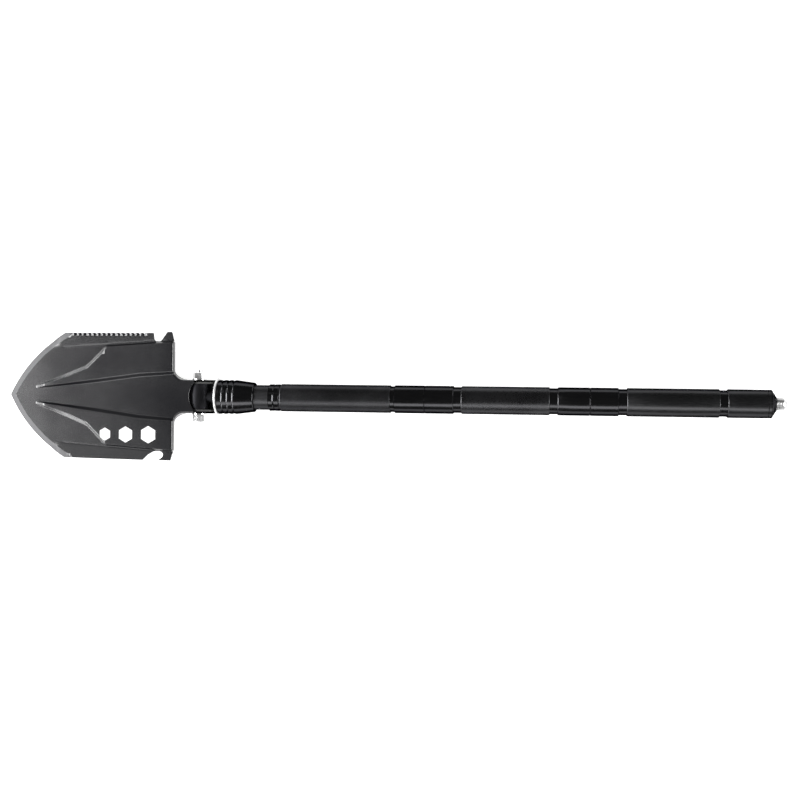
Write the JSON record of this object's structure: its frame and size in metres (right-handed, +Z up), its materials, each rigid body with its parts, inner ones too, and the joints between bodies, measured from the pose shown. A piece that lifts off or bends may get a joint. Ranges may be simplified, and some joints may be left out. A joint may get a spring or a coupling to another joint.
{
  "type": "folding camp shovel",
  "caption": "Folding camp shovel: pointed black steel blade with raised wings, serrated edge and hex holes, screw-collar hinge lock and a sectional tube handle with a spike end.",
  "frame": {"origin": "centre of the overall box, on the floor plane under it; the handle axis runs 20.9 mm above the floor", "axes": "+X along the handle from the blade to the end cap, +Y to the serrated side of the blade, +Z up out of the scooping face"},
  "size_m": [0.8608, 0.1426, 0.0418],
  "materials": {
    "blade_coating": "black powder coat over steel, satin",
    "bolt_steel": "zinc plated steel",
    "ring_chrome": "bright nickel chrome",
    "hinge_steel": "blackened steel",
    "black_anodised": "black anodised, smooth and glossy",
    "knurled_anodised": "black anodised over knurling",
    "satin_anodised": "black anodised, fine satin",
    "tool_steel": "ground stainless steel",
    "silver_steel": "hardened steel, silver",
    "ferro_rod": "dull dark grey",
    "bronze": "sintered bronze",
    "seal_rubber": "matt rubber",
    "black_nylon": "matt nylon",
    "holder_plastic": "orange nylon"
  },
  "bodies": {
    "handle_front": {"hinge_block": "hinge_steel", "pivot_bush": "bronze", "neck_tube": "satin_anodised", "front_ferrule": "black_anodised", "grip_tube_a": "knurled_anodised", "coupling_a": "black_anodised"},
    "blade": {"shovel_blade": "blade_coating", "pivot_bolt": "bolt_steel", "pivot_nut": "bolt_steel", "pivot_washers": "bolt_steel", "hinge_spacers": "black_nylon"},
    "lock_ring": {"lock_ring": "ring_chrome"},
    "lock_collar": {"lock_collar": "satin_anodised"},
    "handle_middle": {"coupling_b_front": "black_anodised", "knife_blade": "tool_steel", "knife_pins": "bolt_steel", "o_ring_front": "seal_rubber", "grip_tube_b": "knurled_anodised", "coupling_b_rear": "black_anodised"},
    "handle_rear": {"coupling_c_front": "black_anodised", "fire_steel_holder": "holder_plastic", "fire_steel_rod": "ferro_rod", "o_ring_rear": "seal_rubber", "grip_tube_c": "satin_anodised", "cap_socket": "black_anodised"},
    "end_cap": {"end_cap": "satin_anodised", "glass_breaker": "silver_steel", "o_ring_cap": "seal_rubber"}
  },
  "joints": [
    {"name": "blade_fold", "type": "hinge", "parent": "handle_front", "child": "blade", "pos_m": [-0.2113, 0, 0.0209], "axis": [0, 1, 0], "range_deg": [0, 90]},
    {"name": "lock_ring_slide", "type": "slide", "parent": "handle_front", "child": "lock_ring", "axis": [1, 0, 0], "range_m": [0, 0.008]},
    {"name": "lock_collar_turn", "type": "hinge", "parent": "lock_ring", "child": "lock_collar", "pos_m": [-0.1713, 0, 0.0209], "axis": [1, 0, 0], "range_deg": [0, 1438]},
    {"name": "middle_section_off", "type": "slide", "parent": "handle_front", "child": "handle_middle", "axis": [1, 0, 0], "range_m": [0, 0.13]},
    {"name": "rear_section_off", "type": "slide", "parent": "handle_middle", "child": "handle_rear", "axis": [1, 0, 0], "range_m": [0, 0.106]},
    {"name": "end_cap_off", "type": "slide", "parent": "handle_rear", "child": "end_cap", "axis": [1, 0, 0], "range_m": [0, 0.025]}
  ],
  "couplings": [
    {"joint": "lock_ring_slide", "follows": "lock_collar_turn", "m_per_rad": 0.00031831}
  ]
}
